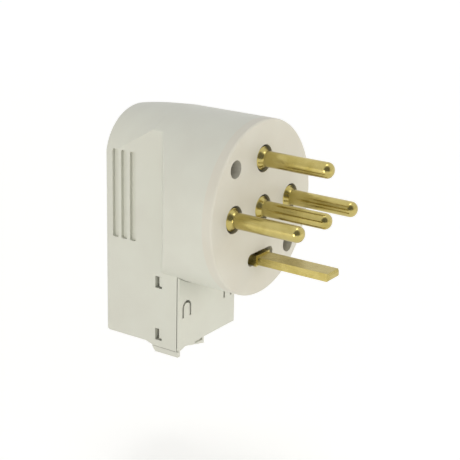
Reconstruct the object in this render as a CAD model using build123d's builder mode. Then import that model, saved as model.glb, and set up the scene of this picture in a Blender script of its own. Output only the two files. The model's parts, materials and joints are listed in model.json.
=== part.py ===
from build123d import *
from math import sqrt
import os

# An angled plug for a three-phase supply. Four round brass pins and a flat earth blade stand in
# a round face, a hood with grip grooves closes it from behind, and a neck lets the cord out below.
# Millimetres. The origin is the centre pin's axis on the front face, the pins point along -Y,
# +X is to the right as seen from the pins, and the cord leaves towards -Z.

# Contacts
pin_pitch = 19.0
pin_radius = 3.0
pin_reach = 29.0
pin_tip_round = 2.5
pin_step_radius = 4.4
pin_flange_radius = 6.0
barrel_radius = 4.5
blade_middle = -0.8
blade_drop = 19.3
blade_width = 8.0
blade_thickness = 3.0
blade_reach = 32.0
blade_tip_chamfer = 0.8
blade_step_margin = 0.6
blade_step_proud = 1.2
blade_block_height = 7.0
flange_margin = 2.0
flange_thickness = 2.0
step_proud = 0.5
terminal_length = 12.0
wire_hole_radius = 2.2
wire_hole_depth = 8.0
terminal_screw_radius = 2.0
terminal_screw_back = 4.5
terminal_screw_stand = 0.6
terminal_screw_entry = 1.0

# Front face and pin carrier
face_radius = 33.5
face_thickness = 4.0
face_edge_round = 1.0
recess_radius = 5.2
recess_depth = 3.5
recess_floor = 2.5
seat_rim = 1.0
blade_recess_width = 17.0
blade_recess_height = 4.8
blade_recess_rise = 0.6
spigot_wall = 2.0
spigot_depth = 6.0
well_offset = 18.6
well_radius = 3.4
well_depth = 15.0
well_floor = 2.0
well_boss_radius = 4.9

# Pin retainer
retainer_radius = 27.0
retainer_thickness = 3.0
retainer_screw_offset = 13.5
retainer_screw_radius = 1.4
retainer_post_radius = 3.2
barrier_radius = 9.0
barrier_wall = 1.5
barrier_height = 8.5
barrier_gap = 7.0

# Hood and neck
wall = 2.2
body_depth = 61.0
grip_half_width = 19.0
shoulder_start = 21.0
shoulder_depth = 32.5
shoulder_fillet = 2.0
shoulder_edge_round = 1.0
arch_start = 37.0
arch_back_spring = 12.0
arch_back_top = 31.0
arch_margin = 0.3
back_round = 3.5
neck_front = 24.2
neck_drop = 57.0
skirt_drop = 1.1
skirt_back = 40.0
skirt_ramp = 3.6
skirt_width = 1.6
groove_count = 3
groove_pitch = 4.2
groove_width = 2.8
groove_depth = 1.3
groove_length = 35.0
groove_corner = 0.7
groove_middle = 50.6
screw_boss_radius = 4.0

# Neck cover and its hooks
cover_lip = 0.75
cover_plate = 2.4
cheek_thickness = 1.8
cheek_depth = 36.2
cheek_height = 3.6
cheek_top_inset = 0.258
cheek_floor_gap = 0.3
hook_window_front = 32.3
hook_window_width = 3.2
hook_window_height = 4.8
hook_window_shift = 0.35
hook_reach = 2.1
hook_height = 3.8
hook_flat = 1.2
hook_ramp = 0.7
tongue_slit = 1.0
tongue_half_width = 2.85
tongue_middle = 13.8
tongue_top = -38.2
tongue_bottom = -44.9
seam_gap = 0.35
plate_edge_round = 0.4
corner_toe = 4.0
pull_tab_start = -14.0
pull_tab_end = -2.2
pull_tab_drop = 2.7
pull_tab_thickness = 1.0
pry_slot_inset = 1.0
pry_slot_length = 5.0
pry_slot_height = 1.0
pry_slot_depth = 0.7
outlet_tongue_back = 38.0

# Cord outlet and cord clamp
outlet_radius = 7.5
outlet_back = 42.0
clamp_front = 32.5
clamp_back = 38.0
clamp_height = 9.0
clamp_rest_gap = 0.4
clamp_screw_offset = 12.3
clamp_boss_radius = 3.6
clamp_arch_radius = 8.0
clamp_side_gap = 0.6
clamp_corner_round = 1.0
clamp_leg_side = 14.4
clamp_leg_width = 2.0
clamp_leg_front = 33.4
clamp_foot_back = 37.0
clamp_foot_front = 24.6
clamp_foot_width = 1.6
clamp_foot_drop = 3.4
clamp_foot_ramp = 1.5
saddle_front = 44.0
saddle_thickness = 1.8
saddle_spacing = 6.0

# Screws, inserts and fits
clearance = 0.15
thread_gap = 0.05
overcut = 1.0
screw_head_radius = 2.8
screw_head_height = 2.0
screw_head_chamfer = 0.4
housing_screw_radius = 1.7
driver_slot_width = 0.9
driver_slot_depth = 1.0
screw_end_gap = 1.2
insert_radius = 2.6
insert_length = 8.0
insert_bore = 1.8
insert_band = 3.2
insert_groove = 0.25

# Places worked out from the sizes above
round_pins = {
    "centre": (0, 0),
    "left": (-pin_pitch, 0),
    "right": (pin_pitch, 0),
    "top": (0, pin_pitch),
}
screw_directions = {
    "centre": (sqrt(0.5), sqrt(0.5)),
    "left": (-1, 0),
    "right": (1, 0),
    "top": (0, 1),
}
blade_place = (blade_middle, -blade_drop)
blade_step_width = blade_width + 2 * blade_step_margin
blade_step_thickness = blade_thickness + 2 * blade_step_margin
blade_flange_width = blade_width + 2 * flange_margin
wells = {"upper": (-well_offset, well_offset), "lower": (well_offset, -well_offset)}
retainer_screws = {
    "upper": (retainer_screw_offset, retainer_screw_offset),
    "lower": (-retainer_screw_offset, -retainer_screw_offset),
}
seat_depth = recess_depth + recess_floor
retainer_front = seat_depth + flange_thickness
retainer_back = retainer_front + retainer_thickness
terminal_back = retainer_front + terminal_length
terminal_screw_depth = terminal_back - terminal_screw_back
spigot_radius = face_radius - wall - clearance
well_end = well_depth + well_floor
hood_boss_front = well_end + clearance
neck_edge = neck_front + cover_lip + seam_gap
plate_back = neck_front + cover_plate
inner_half_width = grip_half_width - wall
cheek_side = inner_half_width - clearance
hook_front = hook_window_front + clearance
corner_toe_end = plate_edge_round - grip_half_width
pry_slot_middle = pull_tab_end - pry_slot_inset - pry_slot_length / 2
inner_bottom = -neck_drop + wall
plate_corner_drop = sqrt((face_radius + clearance)**2 - cheek_side**2)
upper_cheek = -plate_corner_drop - cheek_top_inset - cheek_height / 2
lower_cheek = inner_bottom + cheek_floor_gap + cheek_height / 2
clamp_middle = lower_cheek + (cheek_height + clamp_height) / 2 + clamp_rest_gap
foot_top = -neck_drop - skirt_drop - clearance
foot_bottom = -neck_drop - clamp_foot_drop
clamp_screws = {"left": (-clamp_screw_offset, clamp_middle), "right": (clamp_screw_offset, clamp_middle)}

os.makedirs("parts", exist_ok=True)


def across(depth):
    """The upright plane at a depth behind the face, with local axes along X and Z."""
    return Plane.XZ.offset(-depth)


def beside(place):
    """The level plane through a pin's axis, for the profile that is turned about it."""
    return Plane(origin=(place[0], 0, place[1]), x_dir=(1, 0, 0), z_dir=(0, 0, 1))


def facing(place, depth, direction):
    """A plane at a place and depth whose normal is a direction in X and Z."""
    return Plane(origin=(place[0], depth, place[1]), x_dir=(0, 1, 0),
                 z_dir=(direction[0], 0, direction[1]))


def back_from(length, mode=Mode.ADD):
    """Extrude the pending profile towards the back."""
    extrude(amount=length, dir=(0, 1, 0), mode=mode)


def save(piece, name):
    """Label one finished piece and write it."""
    piece.label = name
    export_step(piece, f"parts/{name}.step")


def slotted_screw(seat, shank_radius, shank_length):
    """A slotted screw whose head sits on a plane and stands along its normal."""
    with BuildPart() as screw:
        with BuildSketch(seat):
            Circle(screw_head_radius)
        extrude(amount=screw_head_height)
        chamfer(screw.faces().sort_by(Axis(seat.origin, seat.z_dir))[-1].edges(), screw_head_chamfer)
        with BuildSketch(seat):
            Circle(shank_radius)
        extrude(amount=-shank_length)
        with BuildSketch(seat.offset(screw_head_height)):
            Rectangle(2 * (screw_head_radius + overcut), driver_slot_width)
        extrude(amount=-driver_slot_depth, mode=Mode.SUBTRACT)
    return screw.part


def threaded_insert(place, front):
    """A brass bush with a knurl band at each end, let into a moulded boss."""
    back = front + insert_length
    with BuildPart() as insert:
        with BuildSketch(beside(place)):
            with BuildLine():
                Polyline(
                    (insert_bore, front),
                    (insert_radius, front),
                    (insert_radius, front + insert_band),
                    (insert_radius - insert_groove, front + insert_band),
                    (insert_radius - insert_groove, back - insert_band),
                    (insert_radius, back - insert_band),
                    (insert_radius, back),
                    (insert_bore, back),
                    close=True,
                )
            make_face()
        revolve(axis=Axis((place[0], 0, place[1]), (0, 1, 0)))
    return insert.part


def hood_form(inset, front, neck_start):
    """The hood's outer form, or the cavity inside it when inset is the wall."""
    radius = face_radius - inset
    half_width = grip_half_width - inset
    back = body_depth - inset
    arch_half = grip_half_width + arch_margin
    slope = (shoulder_depth - shoulder_start) / (face_radius - grip_half_width)
    set_back = inset * sqrt(1 + slope**2)
    flat_front = shoulder_depth + slope * inset - set_back
    barrel_back = shoulder_start + slope * inset - set_back
    reach = radius + overcut
    with BuildPart() as form:
        with BuildSketch(across(front)):
            Circle(radius)
        back_from(arch_start - front)
        for share in (0, 0.5, 1):
            spring = (1 - share) * sqrt(face_radius**2 - arch_half**2) + share * arch_back_spring
            top = face_radius - share**2 * (face_radius - arch_back_top)
            arch_radius = (arch_half**2 / (top - spring) + top - spring) / 2
            inset_spring = top - arch_radius + sqrt((arch_radius - inset)**2 - (arch_half - inset)**2)
            with BuildSketch(across(arch_start + share * (back - arch_start))):
                with BuildLine():
                    Polyline(
                        (arch_half - inset, inset_spring),
                        (arch_half - inset, 0),
                        (inset - arch_half, 0),
                        (inset - arch_half, inset_spring),
                    )
                    ThreePointArc(
                        (inset - arch_half, inset_spring),
                        (0, top - inset),
                        (arch_half - inset, inset_spring),
                    )
                make_face()
        loft()
        with BuildSketch(Plane.XY.offset(-face_radius)) as plan:
            with BuildLine():
                Polyline(
                    (0, front),
                    (reach, front),
                    (reach, barrel_back - slope * overcut),
                    (half_width, flat_front),
                    (half_width, back),
                    (0, back),
                    close=True,
                )
            make_face()
            fillet(plan.vertices().sort_by_distance((half_width, flat_front))[0], shoulder_fillet + inset)
            mirror(about=Plane.YZ)
        extrude(amount=2 * face_radius, mode=Mode.INTERSECT)
        if inset == 0:
            fillet(form.edges().filter_by(GeomType.ELLIPSE), shoulder_edge_round)
        with BuildSketch(Plane.XY.offset(inset - neck_drop)):
            with Locations((0, (neck_start + back) / 2)):
                Rectangle(2 * half_width, back - neck_start)
        extrude(amount=neck_drop - inset)
        fillet(form.faces().sort_by(Axis.Y)[-1].edges().sort_by(Axis.Z)[1:], back_round - inset)
    return form.part


# Front housing: the face, its spigot, the seats of the contacts and the two screw wells
with BuildPart() as front_housing:
    with BuildSketch(across(0)):
        Circle(face_radius)
    back_from(face_thickness)
    fillet(front_housing.faces().sort_by(Axis.Y)[0].edges(), face_edge_round)
    with BuildSketch(across(face_thickness)):
        Circle(spigot_radius)
        Circle(spigot_radius - spigot_wall, mode=Mode.SUBTRACT)
    back_from(spigot_depth)
    with BuildSketch(across(face_thickness)):
        with Locations(*round_pins.values()):
            Circle(pin_flange_radius + seat_rim)
        with Locations(blade_place):
            RectangleRounded(blade_flange_width + 2 * seat_rim, blade_block_height + 2 * seat_rim, seat_rim)
    back_from(seat_depth - face_thickness)
    with BuildSketch(across(face_thickness)):
        with Locations(*retainer_screws.values()):
            Circle(retainer_post_radius)
    back_from(retainer_front - face_thickness)
    with BuildSketch(across(face_thickness)):
        with Locations(*wells.values()):
            Circle(well_boss_radius)
        Circle(spigot_radius, mode=Mode.INTERSECT)
    back_from(well_end - face_thickness)
    with BuildSketch(across(0)):
        with Locations(*round_pins.values()):
            Circle(recess_radius)
        with Locations((blade_middle, blade_recess_rise - blade_drop)):
            SlotOverall(blade_recess_width, blade_recess_height)
    back_from(recess_depth, Mode.SUBTRACT)
    with BuildSketch(across(0)):
        with Locations(*round_pins.values()):
            Circle(pin_step_radius + clearance)
        with Locations(blade_place):
            Rectangle(blade_step_width + 2 * clearance, blade_step_thickness + 2 * clearance)
    back_from(seat_depth, Mode.SUBTRACT)
    with BuildSketch(across(0)):
        with Locations(*wells.values()):
            Circle(well_radius)
    back_from(well_depth, Mode.SUBTRACT)
    with BuildSketch(across(0)):
        with Locations(*wells.values()):
            Circle(housing_screw_radius + clearance)
    back_from(well_end, Mode.SUBTRACT)
    with BuildSketch(across(recess_depth)):
        with Locations(*retainer_screws.values()):
            Circle(retainer_screw_radius + thread_gap)
    back_from(retainer_front, Mode.SUBTRACT)
save(front_housing.part, "front_housing")


# Round pins: each one turned in a piece with its step, flange and terminal barrel
for name, place in round_pins.items():
    with BuildPart() as pin:
        with BuildSketch(beside(place)):
            with BuildLine():
                tip_side = pin_radius - pin_tip_round
                Line((0, -pin_reach), (tip_side, -pin_reach))
                CenterArc((tip_side, pin_tip_round - pin_reach), pin_tip_round, -90, 90)
                Polyline(
                    (pin_radius, pin_tip_round - pin_reach),
                    (pin_radius, recess_depth - step_proud),
                    (pin_step_radius, recess_depth - step_proud),
                    (pin_step_radius, seat_depth),
                    (pin_flange_radius, seat_depth),
                    (pin_flange_radius, retainer_front),
                    (barrel_radius, retainer_front),
                    (barrel_radius, terminal_back),
                    (wire_hole_radius, terminal_back),
                    (wire_hole_radius, terminal_back - wire_hole_depth),
                    (0, terminal_back - wire_hole_depth),
                    (0, -pin_reach),
                )
            make_face()
        revolve(axis=Axis((place[0], 0, place[1]), (0, 1, 0)))
        with BuildSketch(facing(place, terminal_screw_depth, screw_directions[name])):
            Circle(terminal_screw_radius + thread_gap)
        extrude(amount=barrel_radius + overcut, mode=Mode.SUBTRACT)
    save(pin.part, f"{name}_pin")


# Earth blade: a flat bar with a chamfered tip, a step, a flange and a square terminal block
with BuildPart() as earth_blade:
    with BuildSketch(across(-blade_reach)):
        with Locations(blade_place):
            Rectangle(blade_width, blade_thickness)
    back_from(blade_reach + seat_depth)
    chamfer(earth_blade.faces().sort_by(Axis.Y)[0].edges(), blade_tip_chamfer)
    with BuildSketch(across(-blade_step_proud)):
        with Locations(blade_place):
            Rectangle(blade_step_width, blade_step_thickness)
    back_from(blade_step_proud + seat_depth)
    with BuildSketch(across(seat_depth)):
        with Locations(blade_place):
            Rectangle(blade_flange_width, blade_block_height)
    back_from(flange_thickness)
    with BuildSketch(across(retainer_front)):
        with Locations(blade_place):
            Rectangle(blade_width, blade_block_height)
    back_from(terminal_length)
    with BuildSketch(across(terminal_back - wire_hole_depth)):
        with Locations(blade_place):
            Circle(wire_hole_radius)
    back_from(wire_hole_depth, Mode.SUBTRACT)
    with BuildSketch(facing(blade_place, terminal_screw_depth, (0, -1))):
        Circle(terminal_screw_radius + thread_gap)
    extrude(amount=blade_block_height, mode=Mode.SUBTRACT)
save(earth_blade.part, "earth_blade")


# Pin retainer: a plate that traps the flanges, with a barrier ring about the centre contact
with BuildPart() as pin_retainer:
    with BuildSketch(across(retainer_front)):
        Circle(retainer_radius)
        with Locations(*wells.values()):
            Circle(well_boss_radius + 2 * clearance, mode=Mode.SUBTRACT)
    back_from(retainer_thickness)
    with BuildSketch(across(retainer_back)):
        Circle(barrier_radius)
        Circle(barrier_radius - barrier_wall, mode=Mode.SUBTRACT)
        with Locations((barrier_radius * sqrt(0.5), barrier_radius * sqrt(0.5))):
            Rectangle(barrier_gap, barrier_radius, rotation=-45, mode=Mode.SUBTRACT)
    back_from(barrier_height)
    with BuildSketch(across(retainer_front)):
        with Locations(*round_pins.values()):
            Circle(barrel_radius + clearance)
        with Locations(blade_place):
            Rectangle(blade_width + 2 * clearance, blade_block_height + 2 * clearance)
        with Locations(*retainer_screws.values()):
            Circle(retainer_screw_radius + clearance)
    back_from(retainer_thickness, Mode.SUBTRACT)
save(pin_retainer.part, "pin_retainer")


# Bosses and saddle ribs inside the hood, cut to end in the middle of its wall
with BuildPart() as hood_bosses:
    with BuildSketch(across(hood_boss_front)):
        with Locations(*wells.values()):
            Circle(screw_boss_radius)
    back_from(shoulder_depth - hood_boss_front)
    with BuildSketch(across(clamp_back)):
        with Locations(*clamp_screws.values()):
            Circle(clamp_boss_radius)
    back_from(body_depth - clamp_back)
    for rib in (clamp_middle - saddle_spacing / 2, clamp_middle + saddle_spacing / 2):
        with BuildSketch(Plane.XY.offset(rib)):
            with Locations((0, (saddle_front + body_depth) / 2)):
                Rectangle(2 * grip_half_width, body_depth - saddle_front)
            with Locations((0, outlet_back)):
                Circle(outlet_radius, mode=Mode.SUBTRACT)
        extrude(amount=saddle_thickness / 2, both=True)
    add(hood_form(wall / 2, face_thickness, neck_edge), mode=Mode.INTERSECT)


# Rear cover: grip, shoulders, arched back and neck in one hollow moulding
with BuildPart() as rear_cover:
    add(hood_form(0, face_thickness, neck_edge))
    add(hood_form(wall, face_thickness - overcut, plate_back), mode=Mode.SUBTRACT)
    with BuildSketch(across(neck_front - overcut)):
        with Locations((0, inner_bottom / 2)):
            Rectangle(2 * inner_half_width, -inner_bottom)
        Circle(face_radius, mode=Mode.SUBTRACT)
    back_from(cover_plate + 2 * overcut, Mode.SUBTRACT)
    add(hood_bosses.part)
    with BuildSketch(across(hood_boss_front)):
        with Locations(*wells.values()):
            Circle(insert_radius)
    back_from(insert_length, Mode.SUBTRACT)
    with BuildSketch(across(hood_boss_front)):
        with Locations(*wells.values()):
            Circle(insert_bore)
    back_from(insert_length + screw_end_gap, Mode.SUBTRACT)
    with BuildSketch(across(clamp_back)):
        with Locations(*clamp_screws.values()):
            Circle(insert_radius)
    back_from(insert_length, Mode.SUBTRACT)
    with BuildSketch(Plane.XY.offset(-neck_drop - overcut)):
        with Locations((0, outlet_back)):
            Circle(outlet_radius)
        with Locations((0, outlet_back / 2)):
            Rectangle(2 * outlet_radius, outlet_back)
        with Locations((clamp_leg_width / 2 - clamp_leg_side, clamp_foot_back / 2)):
            Rectangle(clamp_leg_width + 2 * clearance, clamp_foot_back + 2 * clearance)
    extrude(amount=wall + overcut + clearance, mode=Mode.SUBTRACT)
    with BuildSketch(Plane.YZ.offset(-grip_half_width)):
        with BuildLine():
            Polyline(
                (neck_edge, -neck_drop),
                (neck_edge, -neck_drop - skirt_drop),
                (skirt_back - skirt_ramp, -neck_drop - skirt_drop),
                (skirt_back, -neck_drop),
                close=True,
            )
        make_face()
    extrude(amount=skirt_width)
    for side in (-1, 1):
        with BuildSketch(Plane.YZ.offset(side * grip_half_width)):
            for window in (upper_cheek - hook_window_shift, lower_cheek - hook_window_shift):
                with Locations((hook_window_front + hook_window_width / 2, window)):
                    Rectangle(hook_window_width, hook_window_height)
        extrude(amount=-side * (wall + clearance), mode=Mode.SUBTRACT)
        with BuildSketch(Plane.YZ.offset(side * grip_half_width)):
            with Locations((groove_middle, 0)):
                with GridLocations(groove_pitch, 1, groove_count, 1):
                    RectangleRounded(groove_width, groove_length, groove_corner)
        extrude(amount=-side * groove_depth, mode=Mode.SUBTRACT)
save(rear_cover.part, "rear_cover")


# Neck cover: a front plate with hooked cheeks, two spring tongues and the outlet's front half
with BuildPart() as neck_cover:
    for half_width, low, thickness in (
        (grip_half_width, -neck_drop, cover_lip),
        (cheek_side, inner_bottom + clearance, cover_plate),
    ):
        with BuildSketch(across(neck_front)):
            with Locations((0, low / 2)):
                Rectangle(2 * half_width, -low)
            Circle(face_radius + clearance, mode=Mode.SUBTRACT)
        back_from(thickness)
    fillet(neck_cover.faces().sort_by(Axis.Y)[0].edges().filter_by(Axis.Z), plate_edge_round)
    with BuildSketch(Plane.XY.offset(-neck_drop)):
        with Locations((0, (neck_front + outlet_tongue_back) / 2)):
            Rectangle(2 * (outlet_radius - clearance), outlet_tongue_back - neck_front)
        with Locations((0, outlet_back)):
            Circle(outlet_radius, mode=Mode.SUBTRACT)
    extrude(amount=wall)
    with BuildSketch(across(neck_front)):
        for start, end, drop in (
            (pull_tab_start, pull_tab_end, pull_tab_drop),
            (corner_toe_end + corner_toe, corner_toe_end, skirt_drop),
        ):
            with BuildLine():
                Polyline((start, -neck_drop), (end, -neck_drop), (end, -neck_drop - drop), close=True)
            make_face()
    back_from(pull_tab_thickness)
    with BuildSketch(across(neck_front)):
        with Locations((pry_slot_middle, -neck_drop - pry_slot_height / 2)):
            Rectangle(pry_slot_length, pry_slot_height)
    back_from(pry_slot_depth, Mode.SUBTRACT)
    for middle in (upper_cheek, lower_cheek):
        for side in (-1, 1):
            with BuildSketch(Plane.XY.offset(middle)):
                with Locations((side * (cheek_side - cheek_thickness / 2), (plate_back + cheek_depth) / 2)):
                    Rectangle(cheek_thickness, cheek_depth - plate_back)
            extrude(amount=cheek_height / 2, both=True)
            with BuildSketch(Plane.XY.offset(middle)):
                with BuildLine():
                    Polyline(
                        (side * cheek_side, hook_front),
                        (side * (cheek_side + hook_reach), hook_front),
                        (side * (cheek_side + hook_reach), hook_front + hook_flat),
                        (side * cheek_side, hook_front + hook_flat + hook_ramp),
                        close=True,
                    )
                make_face()
            extrude(amount=hook_height / 2, both=True)
    with BuildSketch(across(neck_front)):
        for side in (-1, 1):
            for inset, mode in ((0, Mode.ADD), (tongue_slit, Mode.SUBTRACT)):
                half_width = tongue_half_width - inset
                spring = tongue_top - tongue_half_width
                with Locations((side * tongue_middle, spring)):
                    Circle(half_width, mode=mode)
                with Locations((side * tongue_middle, (spring + tongue_bottom) / 2)):
                    Rectangle(2 * half_width, spring - tongue_bottom, mode=mode)
    back_from(cover_plate, Mode.SUBTRACT)
save(neck_cover.part, "neck_cover")


# Cord clamp: a bar across the neck, with a foot that grips under the left wall
with BuildPart() as cord_clamp:
    with BuildSketch(Plane.XY.offset(clamp_middle)):
        with Locations((0, (clamp_front + clamp_back) / 2)):
            RectangleRounded(
                2 * (inner_half_width - clamp_side_gap), clamp_back - clamp_front, clamp_corner_round
            )
        with Locations((0, outlet_back)):
            Circle(clamp_arch_radius, mode=Mode.SUBTRACT)
    extrude(amount=clamp_height / 2, both=True)
    with BuildSketch(Plane.XY.offset(clamp_middle)):
        with Locations((clamp_leg_width / 2 - clamp_leg_side, (clamp_leg_front + clamp_foot_back) / 2)):
            Rectangle(clamp_leg_width, clamp_foot_back - clamp_leg_front)
    extrude(amount=foot_bottom - clamp_middle)
    for front, width in (
        (clamp_foot_front, clamp_foot_width),
        (clamp_leg_front, grip_half_width - clamp_leg_side + clamp_leg_width),
    ):
        with BuildSketch(Plane.YZ.offset(-grip_half_width)):
            with BuildLine():
                Polyline(
                    (front, foot_top),
                    (front, foot_bottom),
                    (clamp_foot_back - clamp_foot_ramp, foot_bottom),
                    (clamp_foot_back, foot_top),
                    close=True,
                )
            make_face()
        extrude(amount=width)
    with BuildSketch(across(clamp_front)):
        with Locations(*clamp_screws.values()):
            Circle(housing_screw_radius + clearance)
    back_from(clamp_back - clamp_front, Mode.SUBTRACT)
save(cord_clamp.part, "cord_clamp")


# Terminal screws, one in each contact
for name, place in round_pins.items():
    direction = screw_directions[name]
    stand = barrel_radius + terminal_screw_stand
    seat_place = (place[0] + stand * direction[0], place[1] + stand * direction[1])
    seat = facing(seat_place, terminal_screw_depth, direction)
    save(slotted_screw(seat, terminal_screw_radius, stand - terminal_screw_entry), f"{name}_terminal_screw")
stand = blade_block_height / 2 + terminal_screw_stand
seat = facing((blade_place[0], blade_place[1] - stand), terminal_screw_depth, (0, -1))
save(slotted_screw(seat, terminal_screw_radius, stand - terminal_screw_entry), "earth_terminal_screw")


# Housing screws in the wells, and the inserts that they turn in
for name, place in wells.items():
    seat = Plane(origin=(place[0], well_depth, place[1]), x_dir=(1, 0, 0), z_dir=(0, -1, 0))
    length = hood_boss_front + insert_length - well_depth
    save(slotted_screw(seat, housing_screw_radius, length), f"{name}_housing_screw")
    save(threaded_insert(place, hood_boss_front), f"{name}_housing_insert")


# Retainer screws, from behind into the posts of the front housing
for name, place in retainer_screws.items():
    seat = Plane(origin=(place[0], retainer_back, place[1]), x_dir=(1, 0, 0), z_dir=(0, 1, 0))
    length = retainer_back - recess_depth - screw_end_gap
    save(slotted_screw(seat, retainer_screw_radius, length), f"{name}_retainer_screw")


# Clamp screws and their inserts
for name, place in clamp_screws.items():
    seat = Plane(origin=(place[0], clamp_front, place[1]), x_dir=(1, 0, 0), z_dir=(0, -1, 0))
    length = clamp_back + insert_length - clamp_front - screw_end_gap
    save(slotted_screw(seat, housing_screw_radius, length), f"{name}_clamp_screw")
    save(threaded_insert(place, clamp_back), f"{name}_clamp_insert")
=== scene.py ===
import json
from math import cos, radians, sin

import bpy
import numpy as np
from mathutils import Matrix, Vector


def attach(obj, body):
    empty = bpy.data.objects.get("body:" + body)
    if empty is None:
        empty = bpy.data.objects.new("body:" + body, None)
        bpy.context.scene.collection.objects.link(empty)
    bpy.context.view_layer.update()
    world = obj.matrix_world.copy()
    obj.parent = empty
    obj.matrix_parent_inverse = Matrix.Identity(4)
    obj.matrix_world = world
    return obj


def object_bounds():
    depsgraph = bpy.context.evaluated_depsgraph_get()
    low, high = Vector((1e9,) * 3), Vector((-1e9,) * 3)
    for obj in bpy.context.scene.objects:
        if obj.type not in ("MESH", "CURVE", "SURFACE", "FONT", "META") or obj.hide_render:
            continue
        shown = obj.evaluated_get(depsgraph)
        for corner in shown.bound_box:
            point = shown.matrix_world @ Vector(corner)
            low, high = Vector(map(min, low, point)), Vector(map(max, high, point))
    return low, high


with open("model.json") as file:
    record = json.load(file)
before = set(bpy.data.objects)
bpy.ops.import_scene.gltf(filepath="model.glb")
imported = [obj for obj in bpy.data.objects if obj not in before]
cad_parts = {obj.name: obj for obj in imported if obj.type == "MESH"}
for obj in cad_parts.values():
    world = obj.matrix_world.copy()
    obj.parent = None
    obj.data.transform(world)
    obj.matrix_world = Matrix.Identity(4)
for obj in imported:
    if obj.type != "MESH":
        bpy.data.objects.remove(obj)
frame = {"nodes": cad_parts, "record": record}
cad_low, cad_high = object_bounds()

# A millimetre in the scene's metres
MM = 0.001

# The plug's own measures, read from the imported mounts: the pitch in metres, the radius in millimetres
MOUNTS = {mount["name"]: mount for mount in frame["record"]["mounts"]}
ROUND_PINS = ["centre_pin", "left_pin", "right_pin", "top_pin"]
PITCH = MOUNTS["right_pin"]["pos_m"][0]
PIN_RADIUS = MOUNTS["centre_pin"]["dims"]["r_mm"]

# The photographer's place: angles in degrees, distance and aim in pin pitches, clipping in metres
CAMERA_AZIMUTH = 56.1
CAMERA_HEIGHT = 18.0
CAMERA_ROLL = 1.37
CAMERA_DISTANCE = 23.5
AIM_SIDE = -1.134
AIM_HEIGHT = -0.163
FOCAL_PIXELS = 1247.3
FRAME_PIXELS = 460
CLIP_NEAR = 0.01
CLIP_FAR = 20

# Collars at the feet of the round pins, in millimetres, with depths measured back from the face
COLLAR_RADIUS = 4.4
FLARE_START = -1.8
FLARE_END = 0.5
FLARE_POWER = 1.8
COLLAR_BACK = 3.05
RIM_ROUNDING = 0.3
PIN_OVERLAP = 0.03
FLARE_STATIONS = 13
RIM_STATIONS = 9
TURN_STEPS = 96

# Tones as sRGB: the clean surface, then its clouds or tarnish
FACE_TONES = ("#D8D5C8", "#D5D1C3")
HOOD_TONES = ("#D7D8CC", "#D4D4C8")
CARRIER_TONES = ("#C9C7BC", "#C3C1B5")
BRASS_TONES = ("#C1B270", "#AF9F58")
ZINC_TONES = ("#8F918D", "#7A7D79")
# The dark tone of the painted shade deep in the hollows of the mouldings
PAINTED_SHADE_TONE = "#3B392F"
PAPER_TONE = "#F4F4F2"
WHITE = "#FFFFFF"
WARM_WHITE = "#FFF9EE"

# Sizes of the patterns, in millimetres
CLOUD_SIZE = 14
FLOW_SIZE = 25
GRAIN_HEIGHT = 0.02
STAIN_SIZE = 5
# How far the ambient occlusion behind the painted shade in hollows reaches
PAINTED_SHADE_REACH = 9

# How much of the dark tone is mixed into the colour as painted shade deep in the hollows of the mouldings
PAINTED_SHADE_AMOUNT = 0.58

# The floor and its glow: lengths in metres, levels as parts of white
FLOOR_DROP = 0.055
FLOOR_REACH = 4.0
PAPER_GLOW = 0.10
PAPER_LIFT_NEAR = 0.25
PAPER_LIFT_FAR = 0.36
PAPER_NEAR = 0.2
PAPER_FAR = 2.0

# The surround: the side its light mostly comes from, levels as parts of white, and the darker room,
# whose edge and core are dot products of the direction looked in and the direction of the room
BRIGHT_SIDE = (-0.24, -0.56, -0.80)
BRIGHT_LEVEL = 0.98
DIM_LEVEL = 0.43
ROOM_LEVEL = 0.2
ROOM_RISE = 0.3
ROOM_EDGE = 0.45
ROOM_CORE = 0.8

# Soft boxes: places, aims and widths in metres, powers in watts
SOFT_BOXES = {
    "top_box": {"place": (0.1, 0.1, 3.0), "aim": (0, 0.02, 0), "width": 1.2, "power": 12,
                "tone": WHITE, "mirrored": True},
    "left_box": {"place": (-0.6, 0.1, -0.02), "aim": (0, 0.02, -0.01), "width": 0.2, "power": 0.75,
                 "tone": WARM_WHITE, "mirrored": True},
    "front_box": {"place": (0.12, -0.6, -0.02), "aim": (0, 0.02, -0.03), "width": 0.4, "power": 1.4,
                  "tone": WARM_WHITE, "mirrored": False},
}


def linear(code):
    """A hex sRGB colour as linear RGBA: each channel c becomes c/12.92 or ((c+0.055)/1.055)^2.4."""
    channels = [int(code[i:i + 2], 16) / 255 for i in (1, 3, 5)]
    return [c / 12.92 if c <= 0.04045 else ((c + 0.055) / 1.055) ** 2.4 for c in channels] + [1.0]


def add(tree, kind, links=None, values=None, **settings):
    """Add a node, set its properties and socket values, and link named sockets to it."""
    node = tree.nodes.new(kind)
    for key, value in settings.items():
        setattr(node, key, value)
    for key, value in (values or {}).items():
        node.inputs[key].default_value = value
    for key, socket in (links or {}).items():
        tree.links.new(socket, node.inputs[key])
    return node


def new_finish(name):
    """An empty material with its tree, its Principled shader and its Object coordinates."""
    finish = bpy.data.materials.new(name)
    finish.use_nodes = True
    tree = finish.node_tree
    shader = tree.nodes["Principled BSDF"]
    place = add(tree, "ShaderNodeTexCoord").outputs["Object"]
    return finish, tree, shader, place


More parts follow.
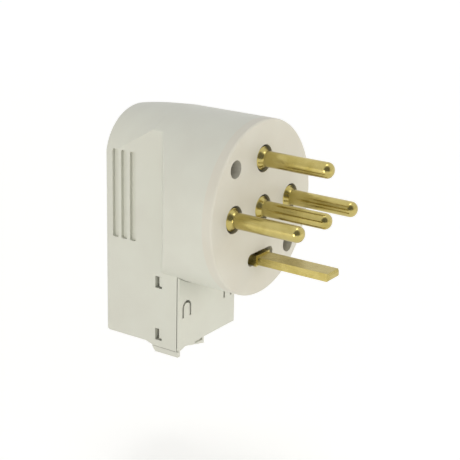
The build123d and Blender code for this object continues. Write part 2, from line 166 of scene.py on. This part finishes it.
def satin_moulding(name, tones, roughness, grain_mm):
    """Injection-moulded thermoplastic from a spark-eroded tool. The eye sees an even colour with a faint
    cloud, a fine matt grain and slow changes of gloss. The darker shade deep in the hollows is painted
    shade."""
    finish, tree, shader, place = new_finish(name)
    clean, deep = tones
    cloud = add(tree, "ShaderNodeTexNoise", {"Vector": place},
                {"Scale": 1 / (CLOUD_SIZE * MM), "Detail": 3.0})
    ramp = add(tree, "ShaderNodeMapRange", {"Value": cloud.outputs["Fac"]},
               {"From Min": 0.35, "From Max": 0.65})
    colour = add(tree, "ShaderNodeMix", {0: ramp.outputs[0]}, {6: linear(deep), 7: linear(clean)},
                 data_type="RGBA")
    # Painted shade: ambient occlusion mixes a dark tone into the colour in wells, slits, grooves and
    # recesses
    occlusion = add(tree, "ShaderNodeAmbientOcclusion", values={"Distance": PAINTED_SHADE_REACH * MM}, samples=8)
    painted_shade_mix = add(tree, "ShaderNodeMapRange", {"Value": occlusion.outputs["AO"]},
               {"From Min": 0.02, "From Max": 0.3, "To Min": PAINTED_SHADE_AMOUNT, "To Max": 0.0},
               interpolation_type="SMOOTHSTEP")
    shaded = add(tree, "ShaderNodeMix", {0: painted_shade_mix.outputs[0], 6: colour.outputs[2]},
                 {7: linear(PAINTED_SHADE_TONE)}, data_type="RGBA")
    # The real grain is some 0.05 mm across, too fine to show, so it is drawn several times coarser
    grain = add(tree, "ShaderNodeTexNoise", {"Vector": place},
                {"Scale": 1 / (grain_mm * MM), "Detail": 2.0, "Roughness": 0.6})
    bump = add(tree, "ShaderNodeBump", {"Height": grain.outputs["Fac"]},
               {"Strength": 0.25, "Distance": GRAIN_HEIGHT * MM})
    flow = add(tree, "ShaderNodeTexNoise", {"Vector": place},
               {"Scale": 1 / (FLOW_SIZE * MM), "Detail": 1.0})
    gloss = add(tree, "ShaderNodeMapRange", {"Value": flow.outputs["Fac"]},
                {"To Min": roughness - 0.05, "To Max": roughness + 0.05})
    tree.links.new(shaded.outputs[2], shader.inputs["Base Color"])
    tree.links.new(gloss.outputs[0], shader.inputs["Roughness"])
    tree.links.new(bump.outputs["Normal"], shader.inputs["Normal"])
    shader.inputs["IOR"].default_value = 1.53
    shader.inputs["Specular IOR Level"].default_value = 0.4
    return finish


def worked_metal(name, tones, roughness, stretch, marks_mm, depth_mm):
    """A turned, drawn or plated metal. The eye sees fine tool marks that run along the stretched axis,
    and a thin uneven tarnish."""
    finish, tree, shader, place = new_finish(name)
    bright, tarnish = tones
    # Real tool marks lie some 0.1 mm apart, too fine to show, so they are drawn several times coarser
    lay = add(tree, "ShaderNodeMapping", {"Vector": place}, {"Scale": stretch})
    marks = add(tree, "ShaderNodeTexNoise", {"Vector": lay.outputs["Vector"]},
                {"Scale": 1 / (marks_mm * MM), "Detail": 3.0, "Roughness": 0.55})
    bump = add(tree, "ShaderNodeBump", {"Height": marks.outputs["Fac"]},
               {"Strength": 0.5, "Distance": depth_mm * MM})
    gloss = add(tree, "ShaderNodeMapRange", {"Value": marks.outputs["Fac"]},
                {"From Min": 0.3, "From Max": 0.7, "To Min": roughness - 0.06, "To Max": roughness + 0.08})
    stain = add(tree, "ShaderNodeTexNoise", {"Vector": place},
                {"Scale": 1 / (STAIN_SIZE * MM), "Detail": 4.0})
    blend = add(tree, "ShaderNodeMapRange", {"Value": stain.outputs["Fac"]},
                {"From Min": 0.4, "From Max": 0.75})
    colour = add(tree, "ShaderNodeMix", {0: blend.outputs[0]}, {6: linear(bright), 7: linear(tarnish)},
                 data_type="RGBA")
    tree.links.new(colour.outputs[2], shader.inputs["Base Color"])
    tree.links.new(gloss.outputs[0], shader.inputs["Roughness"])
    tree.links.new(bump.outputs["Normal"], shader.inputs["Normal"])
    shader.inputs["Metallic"].default_value = 1.0
    return finish


def finish_nodes(finish, names):
    """Give one finish to the named CAD nodes."""
    for name in names:
        data = frame["nodes"][name].data
        data.materials.clear()
        data.materials.append(finish)


def dress_mouldings():
    """The housings, the cord clamp and the carrier of the contacts."""
    # ABS, moulded: a warm pale grey, even and satin
    face = satin_moulding("abs_face_moulding", FACE_TONES, roughness=0.45, grain_mm=0.35)
    finish_nodes(face, ["front_housing"])
    # ABS from another batch, moulded: a little cooler and glossier than the face
    hood = satin_moulding("abs_hood_moulding", HOOD_TONES, roughness=0.42, grain_mm=0.35)
    finish_nodes(hood, ["rear_cover", "neck_cover", "cord_clamp"])
    # Polyamide, moulded: duller and darker than the housings
    carrier = satin_moulding("polyamide_carrier_moulding", CARRIER_TONES, roughness=0.5, grain_mm=0.3)
    finish_nodes(carrier, ["pin_retainer"])


def dress_metals():
    """The contacts, the inserts and the screws. Returns the brass of the round pins."""
    # Brass turned from bar: olive yellow, with fine streaks along the pin
    turned = worked_metal("turned_brass", BRASS_TONES, roughness=0.2, stretch=(1, 0.04, 1),
                          marks_mm=0.5, depth_mm=0.01)
    inserts = [f"{where}_housing_insert" for where in ("upper", "lower")]
    inserts += [f"{where}_clamp_insert" for where in ("left", "right")]
    finish_nodes(turned, ROUND_PINS + inserts)
    # Brass strip, drawn: straight fine lines along the blade and softer reflections
    drawn = worked_metal("drawn_brass", BRASS_TONES, roughness=0.26, stretch=(1, 0.03, 1),
                         marks_mm=0.3, depth_mm=0.01)
    finish_nodes(drawn, ["earth_blade"])
    # Steel, zinc plated and passivated: a dull grey with a broken sheen
    zinc = worked_metal("zinc_plated_steel", ZINC_TONES, roughness=0.42, stretch=(0.2, 1, 0.2),
                        marks_mm=0.2, depth_mm=0.008)
    screws = [f"{where}_terminal_screw" for where in ("centre", "left", "right", "top", "earth")]
    screws += [f"{where}_{use}_screw" for where in ("upper", "lower") for use in ("housing", "retainer")]
    screws += [f"{where}_clamp_screw" for where in ("left", "right")]
    finish_nodes(zinc, screws)
    return turned


def turned_ring(name, profile_mm, place):
    """A ring turned about an axis along Y through a place in X and Z. The point of profile station u
    at turn v is (x + r(u) cos v, y(u), z + r(u) sin v), and the profile closes on itself."""
    profile = np.array(profile_mm) * MM
    turns = np.linspace(0, 2 * np.pi, TURN_STEPS, endpoint=False)
    radius, depth = profile[:, 0][:, None], profile[:, 1][:, None]
    points = np.stack([place[0] + radius * np.cos(turns), depth + 0 * turns,
                       place[1] + radius * np.sin(turns)], axis=-1).reshape(-1, 3)
    stations, steps = np.meshgrid(np.arange(len(profile)), np.arange(TURN_STEPS), indexing="ij")
    near = stations * TURN_STEPS + steps
    aside = stations * TURN_STEPS + (steps + 1) % TURN_STEPS
    onward = (near + TURN_STEPS) % len(points)
    across = (aside + TURN_STEPS) % len(points)
    faces = np.stack([near, onward, across, aside], axis=-1).reshape(-1, 4)
    data = bpy.data.meshes.new(name)
    data.from_pydata(points.tolist(), [], faces.tolist())
    data.shade_smooth()
    ring = bpy.data.objects.new(name, data)
    bpy.context.scene.collection.objects.link(ring)
    return ring


def collar_the_pins(finish):
    """Each round pin flares to a collar that nearly fills its recess. At the part t of the flare's
    length the radius has grown by the spread times t to the flare's power, and the rim is a quarter
    of a circle."""
    foot = PIN_RADIUS - PIN_OVERLAP
    spread = COLLAR_RADIUS - RIM_ROUNDING - foot
    flare = [(foot + spread * t ** FLARE_POWER, FLARE_START + (FLARE_END - FLARE_START) * t)
             for t in np.linspace(0, 1, FLARE_STATIONS)]
    rim = [(COLLAR_RADIUS - RIM_ROUNDING * (1 - sin(bend)), FLARE_END + RIM_ROUNDING * (1 - cos(bend)))
           for bend in np.linspace(0, np.pi / 2, RIM_STATIONS)[1:]]
    profile = flare + rim + [(COLLAR_RADIUS, COLLAR_BACK), (foot, COLLAR_BACK)]
    for pin in ROUND_PINS:
        x, _, z = MOUNTS[pin]["pos_m"]
        collar = turned_ring(f"{pin}_collar", profile, (x, z))
        collar.data.materials.append(finish)
        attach(collar, "root")


def place_camera():
    """The photograph's view: azimuth from -Y towards -X, then elevation, then a small roll."""
    azimuth, height, roll = map(radians, (CAMERA_AZIMUTH, CAMERA_HEIGHT, CAMERA_ROLL))
    back = Vector((-sin(azimuth) * cos(height), -cos(azimuth) * cos(height), sin(height)))
    right = (-back).cross(Vector((0, 0, 1))).normalized()
    up = back.cross(right)
    rolled_right = right * cos(roll) + up * sin(roll)
    rolled_up = up * cos(roll) - right * sin(roll)
    data = bpy.data.cameras.new("photograph_camera")
    data.lens = data.sensor_width * FOCAL_PIXELS / FRAME_PIXELS
    data.clip_start = CLIP_NEAR
    data.clip_end = CLIP_FAR
    camera = bpy.data.objects.new("photograph_camera", data)
    bpy.context.scene.collection.objects.link(camera)
    aim = Vector((AIM_SIDE * PITCH, 0, AIM_HEIGHT * PITCH))
    turn = Matrix((rolled_right, rolled_up, back)).transposed().to_4x4()
    camera.matrix_world = Matrix.Translation(aim + back * CAMERA_DISTANCE * PITCH) @ turn
    bpy.context.scene.camera = camera


def shown_rays(tree):
    """1 for a ray from the camera, a reflection or a clear body, 0 for one that lights a matt surface."""
    path = add(tree, "ShaderNodeLightPath")
    mirrored = add(tree, "ShaderNodeMath", {0: path.outputs["Is Glossy Ray"],
                                            1: path.outputs["Is Transmission Ray"]}, operation="MAXIMUM")
    return add(tree, "ShaderNodeMath", {0: path.outputs["Is Camera Ray"], 1: mirrored.outputs[0]},
               operation="MAXIMUM").outputs[0]


def white_paper_floor():
    """Coated white paper. Its own faint glow, a little more far away, makes the lit part white to the
    camera and to reflections, and leaves the plug's shadow darker. From below the sheet is clear, so
    that the underside can be looked at."""
    paper, tree, shader, place = new_finish("white_paper_floor")
    away = add(tree, "ShaderNodeVectorMath", {0: place}, operation="LENGTH")
    lift = add(tree, "ShaderNodeMapRange", {"Value": away.outputs["Value"]},
               {"From Min": PAPER_NEAR, "From Max": PAPER_FAR,
                "To Min": PAPER_GLOW + PAPER_LIFT_NEAR, "To Max": PAPER_GLOW + PAPER_LIFT_FAR})
    glow = add(tree, "ShaderNodeMapRange", {"Value": shown_rays(tree), "To Max": lift.outputs[0]},
               {"To Min": PAPER_GLOW})
    tree.links.new(glow.outputs[0], shader.inputs["Emission Strength"])
    shader.inputs["Emission Color"].default_value = linear(WHITE)
    shader.inputs["Base Color"].default_value = linear(PAPER_TONE)
    shader.inputs["Roughness"].default_value = 0.9
    below = add(tree, "ShaderNodeNewGeometry").outputs["Backfacing"]
    clear = add(tree, "ShaderNodeBsdfTransparent").outputs[0]
    sheet = add(tree, "ShaderNodeMixShader", {0: below, 1: shader.outputs[0], 2: clear})
    tree.links.new(sheet.outputs[0], tree.nodes["Material Output"].inputs["Surface"])
    return paper


def pale_floor():
    """A flat square sheet a little below the plug, facing up."""
    level = cad_low.z - FLOOR_DROP
    corners = [(x * FLOOR_REACH, y * FLOOR_REACH, level) for x, y in ((-1, -1), (1, -1), (1, 1), (-1, 1))]
    data = bpy.data.meshes.new("studio_floor")
    data.from_pydata(corners, [], [(0, 1, 2, 3)])
    data.materials.append(white_paper_floor())
    floor = bpy.data.objects.new("studio_floor", data)
    bpy.context.scene.collection.objects.link(floor)


def white_surround():
    """A white surround. The camera sees it pure white, matt surfaces get a soft level that falls
    towards the top and the back, and reflections find the darker room on the photographer's side."""
    world = bpy.data.worlds.new("studio_surround")
    bpy.context.scene.world = world
    world.use_nodes = True
    tree = world.node_tree
    path = add(tree, "ShaderNodeLightPath")
    aim = add(tree, "ShaderNodeTexCoord").outputs["Generated"]
    bright = add(tree, "ShaderNodeVectorMath", {0: aim}, {1: BRIGHT_SIDE}, operation="DOT_PRODUCT")
    soft = add(tree, "ShaderNodeMapRange", {"Value": bright.outputs["Value"]},
               {"From Min": -1.0, "From Max": 1.0, "To Min": DIM_LEVEL, "To Max": BRIGHT_LEVEL})
    azimuth = radians(CAMERA_AZIMUTH)
    facing = add(tree, "ShaderNodeVectorMath", {0: aim}, {1: (-sin(azimuth), -cos(azimuth), ROOM_RISE)},
                 operation="DOT_PRODUCT")
    room = add(tree, "ShaderNodeMapRange", {"Value": facing.outputs["Value"]},
               {"From Min": ROOM_EDGE, "From Max": ROOM_CORE, "To Min": 1.0, "To Max": ROOM_LEVEL},
               interpolation_type="SMOOTHSTEP")
    reflected = add(tree, "ShaderNodeMix", {0: path.outputs["Is Glossy Ray"], 2: soft.outputs[0],
                                            3: room.outputs[0]})
    direct = add(tree, "ShaderNodeMath", {0: path.outputs["Is Camera Ray"],
                                          1: path.outputs["Is Transmission Ray"]}, operation="MAXIMUM")
    seen = add(tree, "ShaderNodeMix", {0: direct.outputs[0], 2: reflected.outputs[0]}, {3: 1.0})
    background = tree.nodes["Background"]
    tree.links.new(seen.outputs[0], background.inputs["Strength"])
    background.inputs["Color"].default_value = linear(WHITE)


def soft_box(name, place, aim, width, power, tone, mirrored):
    """A square area lamp at a place, turned to its aim, that reflections may or may not show."""
    data = bpy.data.lights.new(name, "AREA")
    data.size = width
    data.energy = power
    data.color = linear(tone)[:3]
    lamp = bpy.data.objects.new(name, data)
    bpy.context.scene.collection.objects.link(lamp)
    lamp.location = place
    lamp.rotation_euler = (Vector(aim) - Vector(place)).to_track_quat("-Z", "Y").to_euler()
    lamp.visible_glossy = mirrored


dress_mouldings()
pin_brass = dress_metals()
collar_the_pins(pin_brass)
place_camera()
pale_floor()
white_surround()
for box_name, box in SOFT_BOXES.items():
    soft_box(box_name, **box)
bpy.context.scene.view_settings.view_transform = "Standard"
